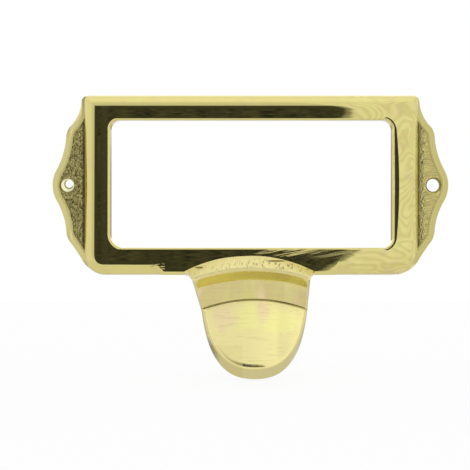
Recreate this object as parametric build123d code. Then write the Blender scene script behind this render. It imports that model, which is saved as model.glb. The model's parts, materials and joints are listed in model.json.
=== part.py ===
from build123d import *

from math import atan, cos, degrees, radians, sin
import os

# A card-frame drawer pull: one brass casting that frames a label card and carries a finger tongue.
# Millimetres. X runs across the drawer, +Z is up, and the polished side faces -Y. The back lies on
# the drawer front at y = 0, and the origin is midway between the two screw holes.

os.makedirs("parts", exist_ok=True)

# Overall and fixing sizes
OVERALL_WIDTH = 82.55
SCREW_SPACING = 76.2

# Window frame: a moulded bar with a flat face and a round outer shoulder
FRAME_WIDTH = 69.35
FRAME_HEIGHT = 37.35
FRAME_DEPTH = 5.0
FRAME_SIDE_SHIFT = 0.15
SHOULDER_RADIUS = 3.0
TOP_CORNER_RADIUS = 1.4
BOTTOM_CORNER_RADII = (4.2, 5.6)

# Land beside the neck, where the lower shoulder keeps a squarer edge
LAND_LEFT = -18.0
LAND_RIGHT = 16.8
LAND_RUNOUT = 1.6
LAND_EDGE_RADIUS = 1.0

# Window: its size at the back of the lip; the side walls lean out towards the front
WINDOW_WIDTH = 58.2
WINDOW_HEIGHT = 26.4
WINDOW_RISE = 0.17
WINDOW_SIDE_LEAN = 0.1
WINDOW_TOP_RADIUS = 1.9
WINDOW_LEFT_FOOT_RADIUS = 2.8
WINDOW_RIGHT_FOOT_RADIUS = 2.0
WINDOW_EDGE_RADIUS = 0.5

# Card pocket in the back, open at the top so that the card slides in
CARD_POCKET_WIDTH = 63.4
CARD_POCKET_DEPTH = 1.6
CARD_POCKET_FLOOR = -15.9

# Ears: thin scalloped plates with a bevelled border round a sunken ground
EAR_THICKNESS = 1.8
EAR_BORDER_WIDTH = 1.5
EAR_BEVEL_WIDTH = 1.1
EAR_BEVEL_DROP = 0.4
EAR_GROUND_DEPTH = 0.22
EAR_ROOT_X = 30.2
SCREW_HOLE_RADIUS = 1.35
COUNTERSINK_RADIUS = 1.6
LEFT_COUNTERSINK_SHIFT = (-0.15, -0.05)

# Neck: the step that carries the tongue. Its undercut is turned about an axis square to the drawer
# front and given as (y, z) where it stands highest; roots and feet are where the flanks start and end.
NECK_AXIS_X = 0.5
NECK_AXIS_Z = -55.0
CREST = (-7.4, -17.2)
CREST_RADIUS = 0.4
UNDERCUT_FOOT = (-5.06, -19.85)
UNDERCUT_BEND_RADIUS = 3.0
HEEL = (-3.05, -25.3)
NECK_ROOTS = (-12.58, 12.66)
NECK_FEET = (-11.0, 12.14)
NECK_FLARES = (1.6, 1.2)
NECK_DRAFT = 5.0
NECK_EDGE_RADIUS = 0.3

# Blend from the frame's face down to the crest: its ruled surface runs from an arc at the back to a
# flatter arc in front, each given by the (x, y, z) of its highest point and its radius
BLEND_BACK = ((-0.8, -3.0, -12.5), 25.2)
BLEND_FRONT = ((1.25, -10.0, -20.0), 56.0)
NECK_TOP_Z = -13.8

# Tongue: a hollow lip that leans forward from the crease; half widths are given down its face
CREASE = (-3.6, -23.8)
TONGUE_LEAN = 29.0
TONGUE_LENGTH = 15.55
TONGUE_DEPTH = 6.2
TONGUE_SIDE_SHIFT = 0.85
TONGUE_CROWN_RADIUS = 60.0
TONGUE_HALF_WIDTHS = ((11.15, 0.0), (10.0, 6.0), (8.0, 11.0), (4.8, 14.4))
TONGUE_RIM_RADIUS = 0.9
TONGUE_FOOT_RADIUS = 0.9
TONGUE_WALL = 2.0
CREASE_RADIUS = 0.5
CREASE_CLEARANCE = 2.2

FRONT = Plane(origin=(0, 0, 0), x_dir=(1, 0, 0), z_dir=(0, -1, 0))
SIDE = Plane(origin=(NECK_AXIS_X, 0, 0), x_dir=(0, 1, 0), z_dir=(1, 0, 0))
TONGUE_PLANE = Plane(
    origin=(TONGUE_SIDE_SHIFT, *CREASE),
    x_dir=(1, 0, 0),
    z_dir=(0, -cos(radians(TONGUE_LEAN)), sin(radians(TONGUE_LEAN))),
)


def round_corner(outline, corner, radius):
    """Round the corner of a flat outline that lies nearest to the given point."""
    vertex = outline.vertices().sort_by_distance((corner[0], corner[1], 0))[0]
    return fillet(vertex, radius)


def frame_outline(top_radius):
    """The frame's outline seen from the front; a top radius of nothing leaves square corners."""
    half_width, half_height = FRAME_WIDTH / 2, FRAME_HEIGHT / 2
    outline = Rectangle(FRAME_WIDTH, FRAME_HEIGHT)
    for side, radius in zip((-1, 1), BOTTOM_CORNER_RADII):
        outline = round_corner(outline, (side * half_width, -half_height), radius)
        if top_radius:
            outline = round_corner(outline, (side * half_width, half_height), top_radius)
    return outline


def land_section(x, radius):
    """The lower bar's section at one place along the frame, with the given shoulder radius."""
    low = -FRAME_HEIGHT / 2
    high = low + SHOULDER_RADIUS + 1
    section = Polygon((0, low), (-FRAME_DEPTH, low), (-FRAME_DEPTH, high), (0, high), align=None)
    section = round_corner(section, (-FRAME_DEPTH, low), radius)
    return Plane(origin=(x, 0, 0), x_dir=(0, 1, 0), z_dir=(1, 0, 0)) * section


def land():
    """The squarer stretch of the lower bar, which runs out into the round shoulder at both ends."""
    sunk = SHOULDER_RADIUS + 0.05
    stations = (
        (LAND_LEFT - LAND_RUNOUT, sunk),
        (LAND_LEFT, LAND_EDGE_RADIUS),
        (LAND_RIGHT, LAND_EDGE_RADIUS),
        (LAND_RIGHT + LAND_RUNOUT, sunk),
    )
    sections = [land_section(x, radius) for x, radius in stations]
    return loft(sections, ruled=True)


def frame_block():
    """The solid bar stock of the frame, with its shoulders rounded and its top corners eased."""
    block = extrude(FRONT * frame_outline(0), FRAME_DEPTH)
    block = fillet(block.faces().sort_by(Axis.Y)[0].edges(), SHOULDER_RADIUS)
    return block & extrude(FRONT * frame_outline(TOP_CORNER_RADIUS), FRAME_DEPTH)


def window_outline(widening):
    """The window's outline, widened at both sides."""
    half_width, half_height = WINDOW_WIDTH / 2 + widening, WINDOW_HEIGHT / 2
    opening = Rectangle(2 * half_width, 2 * half_height)
    for side in (-1, 1):
        opening = round_corner(opening, (side * half_width, half_height), WINDOW_TOP_RADIUS)
    opening = round_corner(opening, (-half_width, -half_height), WINDOW_LEFT_FOOT_RADIUS)
    opening = round_corner(opening, (half_width, -half_height), WINDOW_RIGHT_FOOT_RADIUS)
    return Pos(0, WINDOW_RISE) * opening


def window_cutter():
    """The opening: straight through the card pocket, then with side walls that lean out."""
    lip_plane = FRONT.offset(CARD_POCKET_DEPTH)
    face_plane = FRONT.offset(FRAME_DEPTH)
    straight = extrude(lip_plane * window_outline(0), -CARD_POCKET_DEPTH)
    leaning = loft([lip_plane * window_outline(0), face_plane * window_outline(WINDOW_SIDE_LEAN)])
    return leaning + straight


def card_pocket_cutter():
    """The slot behind the window that holds the card, run out through the top edge."""
    height = FRAME_HEIGHT - CARD_POCKET_FLOOR
    middle = Pos(0, CARD_POCKET_FLOOR + height / 2)
    return extrude(FRONT * middle * Rectangle(CARD_POCKET_WIDTH, height), CARD_POCKET_DEPTH)


def ear_outline():
    """The right ear: a thin lip beside the frame's upper corner, a shoulder, a swell round the screw
    hole, the same shoulder, and a lip that follows the frame's lower corner."""
    tip = OVERALL_WIDTH / 2
    top, corner_end = (34.45, 18.55), (30.6, -18.65)
    edges = [
        ThreePointArc(top, (35.0, 18.1), (35.25, 17.3)),
        ThreePointArc((35.25, 17.3), (35.95, 14.6), (37.8, 12.0)),
        ThreePointArc((37.8, 12.0), (38.25, 11.1), (38.45, 10.0)),
        ThreePointArc((38.45, 10.0), (39.1, 6.4), (40.55, 3.0)),
        ThreePointArc((40.55, 3.0), (tip, 0), (40.55, -3.0)),
        ThreePointArc((40.55, -3.0), (39.05, -6.3), (38.4, -9.8)),
        ThreePointArc((38.4, -9.8), (38.1, -11.0), (37.5, -12.0)),
        ThreePointArc((37.5, -12.0), (36.0, -14.15), (34.8, -16.1)),
        ThreePointArc((34.8, -16.1), (33.3, -17.55), corner_end),
        Polyline(corner_end, (EAR_ROOT_X, -18.0), (EAR_ROOT_X, top[1]), top),
    ]
    return make_face(Curve() + edges)


def ear(side):
    """One ear as a finished plate; side is 1 for the right ear and -1 for its mirror image."""
    outline = ear_outline()
    ground = offset(outline, -EAR_BORDER_WIDTH)
    edge_height = EAR_THICKNESS - EAR_BEVEL_DROP
    bevel_slope = degrees(atan(EAR_BEVEL_WIDTH / EAR_BEVEL_DROP))
    plate = extrude(FRONT * outline, edge_height)
    plate += extrude(FRONT.offset(edge_height) * outline, EAR_BEVEL_DROP, taper=bevel_slope)
    plate -= extrude(FRONT.offset(EAR_THICKNESS - EAR_GROUND_DEPTH) * ground, EAR_GROUND_DEPTH)
    return plate if side > 0 else mirror(plate, Plane.YZ)


def screw_hole_cutter(side):
    """A clear hole and its countersink; the left countersink is drilled a little off centre."""
    centre_x = side * SCREW_SPACING / 2
    shift_x, shift_z = LEFT_COUNTERSINK_SHIFT if side < 0 else (0, 0)
    shank = extrude(FRONT * Pos(centre_x, 0) * Circle(SCREW_HOLE_RADIUS), EAR_THICKNESS)
    point_y = COUNTERSINK_RADIUS - (EAR_THICKNESS - EAR_GROUND_DEPTH)
    point = Plane(origin=(centre_x + shift_x, point_y, shift_z), z_dir=(0, -1, 0))
    height = 2 * COUNTERSINK_RADIUS
    cone = point * Cone(0, height, height, align=(Align.CENTER, Align.CENTER, Align.MIN))
    return shank + cone


def neck_profile():
    """The neck's side section: the undercut run on past the crest, its bend and its buried heel."""
    rise = (CREST[0] - UNDERCUT_FOOT[0]) / (CREST[1] - UNDERCUT_FOOT[1])
    top_z = CREST[1] + 2.5
    peak = (CREST[0] + 2.5 * rise, top_z)
    buried = [HEEL, (-2.0, -26.0), (0, -25.0), (0, top_z)]
    section = make_face(Polyline(peak, UNDERCUT_FOOT, *buried, peak))
    return round_corner(section, UNDERCUT_FOOT, UNDERCUT_BEND_RADIUS)


def neck_outline():
    """The neck seen from the front: straight flanks that flare into the frame's lower edge."""
    edge_z, foot_z = -FRAME_HEIGHT / 2, CREASE[1] - 5.0
    lines, tops, feet = [], [], []
    for side, root, crease_x, flare in zip((-1, 1), NECK_ROOTS, NECK_FEET, NECK_FLARES):
        flank = Vector(crease_x - root, CREASE[1] - edge_z).normalized()
        start = Vector(root, edge_z) + flank * flare
        end = Vector(root + side * flare, edge_z)
        foot = start + flank * ((foot_z - start.Y) / flank.Y)
        lines += [TangentArc(start, end, tangent=-flank), Line(start, foot)]
        tops += [end, Vector(end.X, NECK_TOP_Z)]
        feet.append(foot)
    lines += [Polyline(tops[0], tops[1], tops[3], tops[2]), Line(*feet)]
    return make_face(Curve() + lines)


def above_blend_cutter():
    """Everything above the blend's ruled surface."""
    half, high = 15.0, NECK_TOP_Z + 6.0
    sections = []
    for (x, y, z), radius in (BLEND_BACK, BLEND_FRONT):
        fall = radius - (radius**2 - half**2) ** 0.5
        left, right = (x - half, z - fall), (x + half, z - fall)
        arc = ThreePointArc(left, (x, z), right)
        lid = Polyline(right, (right[0], high), (left[0], high), left)
        sections.append(FRONT.offset(-y) * make_face(Curve() + [arc, lid]))
    return loft(sections, ruled=True)


def is_crest_edge(edge):
    """True for the long edge where the blend meets the undercut."""
    middle = edge.center()
    return edge.length > NECK_ROOTS[1] and middle.Y < CREST[0] + 0.6


def is_flank_edge(edge):
    """True for an edge between a flank of the neck and its blend, crest or cove."""
    middle = edge.center()
    runs_back = edge.bounding_box().max.Y > -1
    return abs(middle.X) > 9 and middle.Y < -3 and not runs_back and edge.length > 0.2


def neck():
    """The neck: the turned undercut, trimmed to its front outline and by the blend, then eased."""
    axis = Axis((NECK_AXIS_X, 0, NECK_AXIS_Z), (0, 1, 0))
    ring = revolve(SIDE * neck_profile(), axis, 60).rotate(axis, -30)
    block = ring & extrude(FRONT * neck_outline(), 12, taper=NECK_DRAFT)
    body = block - above_blend_cutter()
    body = fillet(body.edges().filter_by(is_crest_edge), CREST_RADIUS)
    return fillet(body.edges().filter_by(is_flank_edge), NECK_EDGE_RADIUS)


def tongue_outline(inset, back):
    """The tongue's U outline in its own plane, set in by a wall and run on past the crease."""
    right = [(half - inset, -down) for half, down in TONGUE_HALF_WIDTHS]
    right = [(x, y + inset * min(1, -y / TONGUE_LENGTH)) for x, y in right]
    left = [(-x, y) for x, y in reversed(right)]
    tip = (0, inset - TONGUE_LENGTH)
    curve = Spline(*right, tip, *left)
    ends = Polyline(left[-1], (left[-1][0], back), (right[0][0], back), right[0])
    return make_face(Curve() + curve + ends)


def is_rim_edge(edge):
    """True for an edge of the tongue's crowned face along its U outline."""
    middle = TONGUE_PLANE.to_local_coords(edge.center())
    return middle.Y < -1 and middle.Z > -1


def is_foot_edge(edge):
    """True for an edge of the tongue's back plane along its U outline."""
    middle = TONGUE_PLANE.to_local_coords(edge.center())
    return middle.Y < -1 and middle.Z < 0.01 - TONGUE_DEPTH


def tongue():
    """The leaning lip, still solid: a U plate with a crowned face, a soft rim and a rounded foot."""
    plate = extrude(TONGUE_PLANE.offset(-TONGUE_DEPTH) * tongue_outline(0, 2.0), TONGUE_DEPTH + 1)
    crown_axis = Pos(0, 0, -TONGUE_CROWN_RADIUS) * Rot(90, 0, 0)
    lip = plate & TONGUE_PLANE * crown_axis * Cylinder(TONGUE_CROWN_RADIUS, 80)
    lip = fillet(lip.edges().filter_by(is_rim_edge), TONGUE_RIM_RADIUS)
    return fillet(lip.edges().filter_by(is_foot_edge), TONGUE_FOOT_RADIUS)


def tongue_hollow_cutter():
    """The finger hollow under the tongue: the U outline less its wall, open at the back."""
    depth = TONGUE_DEPTH + FRAME_DEPTH
    floor = TONGUE_PLANE.offset(-TONGUE_WALL - depth)
    return extrude(floor * tongue_outline(TONGUE_WALL, 9.0), depth)


def behind_tongue_cutter():
    """Everything behind the plane on which the tongue's wall ends, and behind the drawer front."""
    reach = 40
    block = Box(reach, 2 * reach, reach, align=(Align.CENTER, Align.CENTER, Align.MAX))
    drawer = Box(reach, reach, reach, align=(Align.CENTER, Align.MIN, Align.CENTER))
    return TONGUE_PLANE.offset(-TONGUE_DEPTH) * block + Pos(0, 0, CREASE[1]) * drawer


def spur_cutter():
    """Everything outside the tongue's outline from a little below the crease to beyond the tip."""
    reach, top = 20, CREASE_CLEARANCE
    block = Polygon((-reach, -top), (reach, -top), (reach, -reach), (-reach, -reach), align=None)
    return extrude(TONGUE_PLANE * (block - tongue_outline(0, 2.0)), reach, both=True)


def is_crease_edge(edge):
    """True for the long edge where the undercut meets the tongue's face."""
    middle = TONGUE_PLANE.to_local_coords(edge.center())
    return edge.length > TONGUE_HALF_WIDTHS[0][0] and abs(middle.Y) < 3 and abs(middle.Z) < 0.5


def pull():
    """Neck and tongue together, hollowed for the fingers."""
    joined = neck() + tongue()
    joined = fillet(joined.edges().filter_by(is_crease_edge), CREASE_RADIUS)
    return joined - spur_cutter() - behind_tongue_cutter() - tongue_hollow_cutter()


def is_window_edge(edge):
    """True for an edge of the window on the frame's face."""
    middle = edge.center()
    inside = abs(middle.X) < WINDOW_WIDTH / 2 + 1 and abs(middle.Z) < WINDOW_HEIGHT / 2 + 1
    return inside and abs(middle.Y + FRAME_DEPTH) < 0.01


def build_casting():
    """The whole casting: frame and ears, window, pull, card pocket and screw holes."""
    bars = Pos(FRAME_SIDE_SHIFT, 0, 0) * (frame_block() - window_cutter())
    frame = bars + land() + ear(1) + ear(-1)
    frame = fillet(frame.edges().filter_by(is_window_edge), WINDOW_EDGE_RADIUS)
    body = frame + pull() - card_pocket_cutter()
    for side in (-1, 1):
        body = body - screw_hole_cutter(side)
    return body


casting = build_casting()
export_step(casting, "parts/card_frame_pull.step")
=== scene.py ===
# %% [markdown]
# # A brass drawer pull with a card window
# The object is one brass casting: a window frame that holds a label, two thin ears for the screws, and a
# finger tongue below. Its front was buffed to a mirror, its ears were left rough in their sunken grounds,
# and its tongue shows fine brush lines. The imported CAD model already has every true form, so it is loaded
# first and its box is noted before anything is added.

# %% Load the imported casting
import json
import math

import bmesh
import bpy
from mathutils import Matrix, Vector, noise
from mathutils.bvhtree import BVHTree


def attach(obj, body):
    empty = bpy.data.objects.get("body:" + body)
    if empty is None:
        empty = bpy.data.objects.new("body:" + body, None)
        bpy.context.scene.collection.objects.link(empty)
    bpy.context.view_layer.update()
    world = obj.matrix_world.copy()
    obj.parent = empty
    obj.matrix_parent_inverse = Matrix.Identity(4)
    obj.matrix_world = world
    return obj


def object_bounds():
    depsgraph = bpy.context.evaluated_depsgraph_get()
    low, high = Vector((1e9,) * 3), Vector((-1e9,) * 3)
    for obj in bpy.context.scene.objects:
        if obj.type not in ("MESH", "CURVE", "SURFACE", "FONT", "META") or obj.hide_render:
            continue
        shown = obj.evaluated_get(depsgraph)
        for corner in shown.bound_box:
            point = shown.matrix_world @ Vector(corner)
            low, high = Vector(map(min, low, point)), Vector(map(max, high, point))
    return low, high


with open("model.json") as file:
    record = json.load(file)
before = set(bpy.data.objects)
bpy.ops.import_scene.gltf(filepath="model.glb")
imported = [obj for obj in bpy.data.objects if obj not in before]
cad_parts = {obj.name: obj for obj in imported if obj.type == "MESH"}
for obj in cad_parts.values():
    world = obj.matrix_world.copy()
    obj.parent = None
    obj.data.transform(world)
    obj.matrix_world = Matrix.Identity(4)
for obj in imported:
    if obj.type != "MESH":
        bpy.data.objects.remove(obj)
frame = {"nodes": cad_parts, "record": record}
cad_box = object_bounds()
casting = frame["nodes"]["card_frame_pull"]
screw_dims = frame["record"]["mounts"][0]["dims"]
print("casting box in metres:", [tuple(round(c, 5) for c in corner) for corner in cad_box])
print("screw spacing in millimetres:", screw_dims["spacing_x_mm"])

# %% [markdown]
# Scene units are metres, but a pull this small is easier to think about in millimetres. One factor turns
# the named sizes below into scene units. The places that later cells measure from are named once here:
# the window, the frame's side, the heights of the ears, the holes, and the arcs of the neck. The left hole
# was countersunk a little off centre. The arcs of the neck are the crest, the gold strip and the crease,
# and all three are turned about one axis below the tongue.

# %% Units and landmarks
MM = 0.001
WINDOW_MIDDLE = (0.05, 0.17)
WINDOW_HALF = (29.2, 13.2)
WINDOW_CORNER = 2.0
FRAME_SIDE = 34.6
EAR_GROUND_Y = -1.58
EAR_LAND_Y = -1.8
HOLE_X = screw_dims["spacing_x_mm"] / 2
HOLE_RADIUS = screw_dims["hole_r_mm"]
COUNTERSINK_RADIUS = 1.6
COUNTERSINK_MIDDLE = {-1: (-HOLE_X - 0.15, -0.05), 1: (HOLE_X, 0.0)}
TURNING_AXIS = (0.5, -55.0)
CREST_RADIUS = 37.8
STRIP_RADIUS = 35.3
CREASE_RADIUS = 31.2

# %% [markdown]
# Materials are built from nodes, and writing each node out by hand takes four lines. The helpers here add
# a node, set its fields and fill its sockets in one call. A socket takes either a plain value or another
# node's output, so that a formula reads from left to right. A mask is a value from 0 to 1 that says how
# much of a treatment a point gets; it is made of soft ramps, and several are joined by their product.

# %% Node helpers


def add_node(tree, kind, fields=None, sockets=None):
    """Adds a shader node; each socket gets a value or is linked to another node's output."""
    node = tree.nodes.new("ShaderNode" + kind)
    for field, value in (fields or {}).items():
        setattr(node, field, value)
    for name, value in (sockets or {}).items():
        if isinstance(value, bpy.types.NodeSocket):
            tree.links.new(value, node.inputs[name])
        else:
            node.inputs[name].default_value = value
    return node


def calc(tree, operation, first, second=0.0):
    """One step of arithmetic."""
    return add_node(tree, "Math", {"operation": operation}, {0: first, 1: second}).outputs[0]


def fade(tree, value, start, end, low=0.0, high=1.0):
    """A soft ramp from low to high while the value goes from start to end."""
    sockets = {"Value": value, "From Min": start, "From Max": end, "To Min": low, "To Max": high}
    return add_node(tree, "MapRange", {"interpolation_type": "SMOOTHSTEP"}, sockets).outputs["Result"]


def band(tree, value, rise, fall):
    """A mask that rises over one range of the value and falls again over another."""
    return calc(tree, "MULTIPLY", fade(tree, value, *rise), fade(tree, value, *fall, 1.0, 0.0))


def both(tree, *masks):
    """The product of two or more masks."""
    result = masks[0]
    for mask in masks[1:]:
        result = calc(tree, "MULTIPLY", result, mask)
    return result


def blend_colour(tree, factor, under, over):
    """Lays one colour over another by a mask."""
    node = add_node(tree, "Mix", {"data_type": "RGBA"}, {0: factor, 6: under, 7: over})
    return node.outputs[2]


def in_millimetres(tree):
    """The point on the surface in millimetres, whole and split into X, Y and Z."""
    place = add_node(tree, "TexCoord").outputs["Object"]
    scaled = add_node(tree, "VectorMath", {"operation": "SCALE"}, {0: place, "Scale": 1 / MM}).outputs[0]
    axes = add_node(tree, "SeparateXYZ", None, {0: scaled}).outputs
    return scaled, axes["X"], axes["Y"], axes["Z"]


def stretched(tree, place, scale):
    """The place, scaled along each axis, which stretches the pattern that reads it."""
    return add_node(tree, "VectorMath", {"operation": "MULTIPLY"}, {0: place, 1: scale}).outputs[0]


# %% [markdown]
# A polished metal has no look of its own: it shows what stands round it. The photograph was taken in a
# white tent, and the wide dark shape in the frame is the camera side of that tent, seen in the mirror of
# the brass. A world made of soft white with one dark card does this better than lamps, because the card's
# edges decide where each bar of the frame turns from dark to bright. The card is described by how far a
# direction leans sideways and upwards from straight ahead.
#
# The rest of the tent isn't even either. Its top is brighter and its foot dimmer, and the cloth to the left
# of the card and above it lies in shade, which greys the frame's shoulders a little. Behind the pull the
# tent is seen only by walls that stand almost edge on: bright from above, grey from below, olive at the
# sides.

# %% The white tent and its dark card
TENT_WHITE = (0.95, 0.95, 0.95, 1)
TENT_TOP, TOP_ZONE = (1.1, 1.1, 1.1, 1), (0.85, 1.0)
TENT_FOOT, FOOT_ZONE = (0.87, 0.86, 0.84, 1), (-0.25, -0.55)
CARD_DARK = (0.022, 0.027, 0.026, 1)
CARD_LIGHTER = (0.085, 0.082, 0.068, 1)
CARD_RIM_GREY = (0.30, 0.31, 0.27, 1)
CARD_LEFT, CARD_RIGHT = math.tan(math.radians(-37)), 0.0695
CARD_RIM = 0.0045
CARD_DOWN, CARD_UP = math.tan(math.radians(-34)), math.tan(math.radians(35))
CARD_SOFT_EDGE, CARD_SHARP_EDGE, CARD_FOOT_EDGE = 0.34, 0.0035, 0.10
CARD_ROUNDING = 3.2
CARD_WEAVE = (130, 3, 170)
SHADE_WHITE = (0.74, 0.75, 0.76, 1)
SHADE_REACH = 1.7
REAR_ZONE = (0.3, 0.8)
REAR_UP = (1.2, 1.2, 1.2, 1)
REAR_DOWN = (0.74, 0.74, 0.72, 1)
REAR_SIDES, REAR_SIDES_ZONE = (0.46, 0.42, 0.27, 1), (0.93, 0.985)

world = bpy.data.worlds.new("white_tent")
bpy.context.scene.world = world
world.use_nodes = True
tent = world.node_tree
tent.nodes.clear()
direction = add_node(tent, "TexCoord").outputs["Generated"]
facing = add_node(tent, "SeparateXYZ", None, {0: direction}).outputs
ahead = calc(tent, "MAXIMUM", calc(tent, "MULTIPLY", facing["Y"], -1.0), 0.001)
sideways = calc(tent, "DIVIDE", facing["X"], ahead)
upwards = calc(tent, "DIVIDE", facing["Z"], ahead)
half_soft, half_sharp, half_foot = CARD_SOFT_EDGE / 2, CARD_SHARP_EDGE / 2, CARD_FOOT_EDGE / 2
card = both(
    tent,
    fade(tent, ahead, 0.03, 0.08),
    fade(tent, sideways, CARD_LEFT - half_soft, CARD_LEFT + half_soft),
    fade(tent, sideways, CARD_RIGHT - half_sharp, CARD_RIGHT + half_sharp, 1.0, 0.0),
    fade(tent, upwards, CARD_DOWN - half_foot, CARD_DOWN + half_foot),
    fade(tent, upwards, CARD_UP - half_soft, CARD_UP + half_soft, 1.0, 0.0),
)
share_left = calc(tent, "MAXIMUM", calc(tent, "DIVIDE", sideways, CARD_LEFT), 0.0)
share_up = calc(tent, "ABSOLUTE", calc(tent, "DIVIDE", upwards, CARD_UP))
corner_reach = calc(
    tent, "ADD", calc(tent, "POWER", share_left, CARD_ROUNDING), calc(tent, "POWER", share_up, CARD_ROUNDING)
)
card = both(tent, card, fade(tent, corner_reach, 0.85, 1.15, 1.0, 0.0))
weave_place = stretched(tent, direction, CARD_WEAVE)
weave = add_node(tent, "TexNoise", None, {"Vector": weave_place, "Scale": 1.0, "Detail": 3.0}).outputs[0]
card_colour = blend_colour(tent, fade(tent, weave, 0.35, 0.65), CARD_DARK, CARD_LIGHTER)
rim_start = CARD_RIGHT - CARD_RIM
card_rim = fade(tent, sideways, rim_start - half_sharp, rim_start + half_sharp)
card_colour = blend_colour(tent, card_rim, card_colour, CARD_RIM_GREY)
shade = both(
    tent,
    fade(tent, sideways, CARD_LEFT - SHADE_REACH, CARD_LEFT),
    fade(tent, sideways, CARD_RIGHT - half_sharp, CARD_RIGHT + half_sharp, 1.0, 0.0),
    fade(tent, upwards, CARD_UP, CARD_UP + SHADE_REACH, 1.0, 0.0),
    fade(tent, upwards, CARD_DOWN, 0.0),
)
tent_colour = blend_colour(tent, fade(tent, facing["Z"], *TOP_ZONE), TENT_WHITE, TENT_TOP)
tent_colour = blend_colour(tent, fade(tent, facing["Z"], *FOOT_ZONE), tent_colour, TENT_FOOT)
tent_colour = blend_colour(tent, shade, tent_colour, SHADE_WHITE)
rear = blend_colour(tent, fade(tent, facing["Z"], -0.1, 0.1), REAR_DOWN, REAR_UP)
tent_colour = blend_colour(tent, fade(tent, facing["Y"], *REAR_ZONE), tent_colour, rear)
side_lead = calc(
    tent, "SUBTRACT", calc(tent, "ABSOLUTE", facing["X"]), calc(tent, "ABSOLUTE", facing["Z"])
)
rear_sides = both(tent, fade(tent, facing["Y"], *REAR_SIDES_ZONE), fade(tent, side_lead, 0.03, 0.10))
tent_colour = blend_colour(tent, rear_sides, tent_colour, REAR_SIDES)
tent_colour = blend_colour(tent, card, tent_colour, card_colour)
seen_directly = add_node(tent, "LightPath").outputs["Is Camera Ray"]
shown = blend_colour(tent, seen_directly, tent_colour, (1, 1, 1, 1))
background = add_node(tent, "Background", None, {"Color": shown})
add_node(tent, "OutputWorld", None, {"Surface": background.outputs[0]})
card_reach = (CARD_LEFT, CARD_RIGHT, CARD_DOWN, CARD_UP)
print("dark card, left, right, down and up:", [round(share, 3) for share in card_reach])

# %% [markdown]
# The pull was photographed straight from the front, a little left of its middle and a little below the
# window's centre. The distance matters for a mirror finish, since it sets how the reflection shifts from
# one end of a flat bar to the other. A long lens at a third of a metre gives the same shift.

# %% Camera
CAMERA_PLACE = (-3.22, -355.0, -10.39)
CAMERA_PIXELS_PER_SLOPE = 1695
PHOTO_WIDTH = 470

camera = bpy.data.objects.new("camera", bpy.data.cameras.new("camera"))
bpy.context.scene.collection.objects.link(camera)
bpy.context.scene.camera = camera
camera.data.sensor_width = 36
camera.data.lens = camera.data.sensor_width * CAMERA_PIXELS_PER_SLOPE / PHOTO_WIDTH
camera.data.clip_start = 0.01
camera.location = [c * MM for c in CAMERA_PLACE]
camera.rotation_euler = (math.pi / 2, 0, 0)
bpy.context.scene.view_settings.view_transform = "Standard"
print("lens in millimetres:", round(camera.data.lens, 1))

# %% [markdown]
# Brush marks are the fine parallel scratches that an abrasive belt leaves. They could be drawn one by one,
# but noise stretched along the direction of the stroke looks the same at this size. The tongue and the
# ears' grounds both have them, so they are a node group with the stroke's length and width as inputs.

# %% Shared effect: brush marks


def new_group(name, inputs, outputs):
    """An empty shader node group with named sockets; an input given as None is a vector."""
    group = bpy.data.node_groups.new(name, "ShaderNodeTree")
    for label, value in inputs.items():
        kind = "NodeSocketVector" if value is None else "NodeSocketFloat"
        socket = group.interface.new_socket(label, in_out="INPUT", socket_type=kind)
        if value is not None:
            socket.default_value = value
    for label in outputs:
        group.interface.new_socket(label, in_out="OUTPUT", socket_type="NodeSocketFloat")
    return group, group.nodes.new("NodeGroupInput").outputs, group.nodes.new("NodeGroupOutput").inputs


def use_group(tree, group, sockets):
    """Places a node group in a tree and returns its outputs."""
    node = tree.nodes.new("ShaderNodeGroup")
    node.node_tree = group
    for name, value in sockets.items():
        if isinstance(value, bpy.types.NodeSocket):
            tree.links.new(value, node.inputs[name])
        else:
            node.inputs[name].default_value = value
    return node.outputs


brush_marks, given, result = new_group(
    "brush_marks", {"Place": None, "Stroke Length": 6.0, "Stroke Width": 0.3}, ["Mask"]
)
along = add_node(brush_marks, "SeparateXYZ", None, {0: given["Place"]}).outputs
stroke = add_node(
    brush_marks, "CombineXYZ", None,
    {
        "X": calc(brush_marks, "DIVIDE", along["X"], given["Stroke Length"]),
        "Y": calc(brush_marks, "DIVIDE", along["Y"], given["Stroke Width"]),
        "Z": calc(brush_marks, "DIVIDE", along["Z"], given["Stroke Width"]),
    },
).outputs[0]
scratches = add_node(brush_marks, "TexNoise", None, {"Vector": stroke, "Scale": 1.0, "Detail": 4.0})
brush_marks.links.new(fade(brush_marks, scratches.outputs[0], 0.3, 0.7), result["Mask"])
print("group", brush_marks.name, "sockets", [s.name for s in brush_marks.interface.items_tree])

# %% [markdown]
# Lacquered brass is never one even yellow: the alloy and the lacquer drift between a pinkish and a
# greenish gold in soft clouds. Two noises with different seeds give the clouds. All three materials of
# this piece drift in the same way, so this is a group too, with the size of a cloud as its input.

# %% Shared effect: drifting colour
colour_drift, given, result = new_group(
    "colour_drift", {"Place": None, "Cloud Size": 4.0}, ["Pink", "Green"]
)
cloud_place = add_node(
    colour_drift, "VectorMath", {"operation": "DIVIDE"}, {0: given["Place"], 1: given["Cloud Size"]}
).outputs[0]
for label, seed in (("Pink", 0.0), ("Green", 11.0)):
    clouds = add_node(
        colour_drift, "TexNoise", {"noise_dimensions": "4D"},
        {"Vector": cloud_place, "W": seed, "Scale": 1.0, "Detail": 3.0, "Distortion": 0.6},
    )
    colour_drift.links.new(fade(colour_drift, clouds.outputs[0], 0.48, 0.68), result[label])
print("group", colour_drift.name, "sockets", [s.name for s in colour_drift.interface.items_tree])

# %% [markdown]
# Sand casting leaves pinholes where grains sat in the mould. They stay open wherever the buffing wheel
# could not reach: in the ears, and in the hollow sweep above the tongue. A Voronoi pattern scatters the
# holes, and the random colour of each of its cells decides whether that cell has one.

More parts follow.
